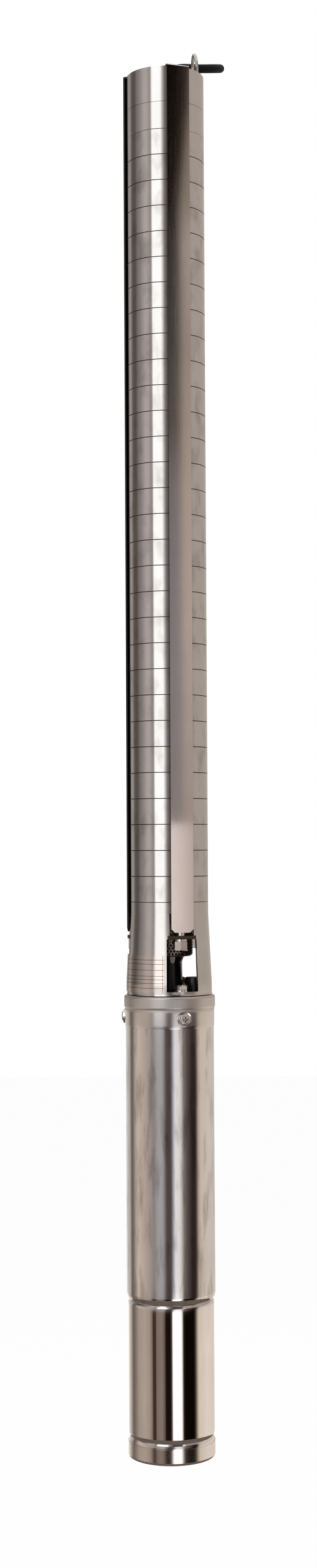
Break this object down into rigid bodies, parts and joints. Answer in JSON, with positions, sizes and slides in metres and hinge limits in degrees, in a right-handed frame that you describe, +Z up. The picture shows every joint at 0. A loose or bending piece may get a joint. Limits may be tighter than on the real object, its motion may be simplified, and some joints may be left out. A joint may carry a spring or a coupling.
{
  "type": "submersible well pump",
  "caption": "Slim upright submersible well pump: stacked pressed steel bowls clamped by straps, windowed suction bracket, polished motor below, rubber lead and a rope ring on top.",
  "frame": {"origin": "Centre of the discharge socket's mouth, on the pump's axis at the head's top face.", "axes": "+Z up along the axis, out of the discharge mouth; -Y faces the camera of the picture; +X to its right."},
  "size_m": [0.1162, 0.1588, 1.5054],
  "materials": {
    "sheet_steel": "satin",
    "fastener_steel": "satin",
    "polished_shell": "polished",
    "label_steel": "etched",
    "black_coupling": "blackened",
    "cast_housing": "machined",
    "impeller_plastic": "moulded",
    "ring_plastic": "moulded",
    "bush_rubber": "matte",
    "bearing_bronze": "machined",
    "thrust_steel": "ground",
    "lamination_steel": "laminated",
    "winding_copper": "varnished",
    "lead_rubber": "matte",
    "core_sheath": "matte"
  },
  "bodies": {
    "pump": {"base_cover": "cast_housing", "bearing_bushes": "bush_rubber", "cable_guard": "sheet_steel", "cap_screw_cups": "fastener_steel", "cap_screws": "fastener_steel", "diaphragm": "bush_rubber", "discharge_head": "sheet_steel", "guard_screws": "fastener_steel", "lead_cores": "core_sheath", "lead_lower": "lead_rubber", "lead_plug": "lead_rubber", "lead_riser": "lead_rubber", "lead_tail": "lead_rubber", "lower_bearing_carrier": "cast_housing", "lower_motor_bush": "bearing_bronze", "motor_cap": "sheet_steel", "motor_nuts": "fastener_steel", "motor_shell": "polished_shell", "motor_studs": "fastener_steel", "motor_washers": "fastener_steel", "nameplate": "label_steel", "neck_rings": "ring_plastic", "rope_ring": "sheet_steel", "shaft_seal": "bush_rubber", "stage_bowls_1": "sheet_steel", "stage_bowls_2": "sheet_steel", "stage_bowls_3": "sheet_steel", "stator_core": "lamination_steel", "stator_windings": "winding_copper", "strainer_basket": "sheet_steel", "strap_front": "sheet_steel", "strap_left": "sheet_steel", "strap_nuts": "fastener_steel", "strap_rear": "sheet_steel", "strap_studs": "fastener_steel", "strap_washers": "fastener_steel", "suction_bracket": "sheet_steel", "suction_bush": "bush_rubber", "thrust_pads": "thrust_steel", "thrust_seat": "cast_housing", "upper_end_bell": "cast_housing", "upper_motor_bush": "bearing_bronze", "valve_guide": "sheet_steel", "valve_seat": "sheet_steel", "valve_spring": "sheet_steel"},
    "rotor": {"pump_shaft": "sheet_steel", "impellers": "impeller_plastic", "coupling": "black_coupling", "motor_shaft": "sheet_steel", "rotor_core": "lamination_steel", "thrust_disc": "thrust_steel", "sand_slinger": "bush_rubber"},
    "check_valve": {"valve_cone": "sheet_steel"}
  },
  "joints": [
    {"name": "rotor_spin", "type": "hinge", "parent": "pump", "child": "rotor", "pos_m": [0, 0, 0], "axis": [0, 0, 1], "continuous": true},
    {"name": "valve_lift", "type": "slide", "parent": "pump", "child": "check_valve", "axis": [0, 0, 1], "range_m": [0, 0.007], "stiffness_N_per_m": 600, "springref_m": -0.006, "deforming": ["valve_spring"]}
  ]
}
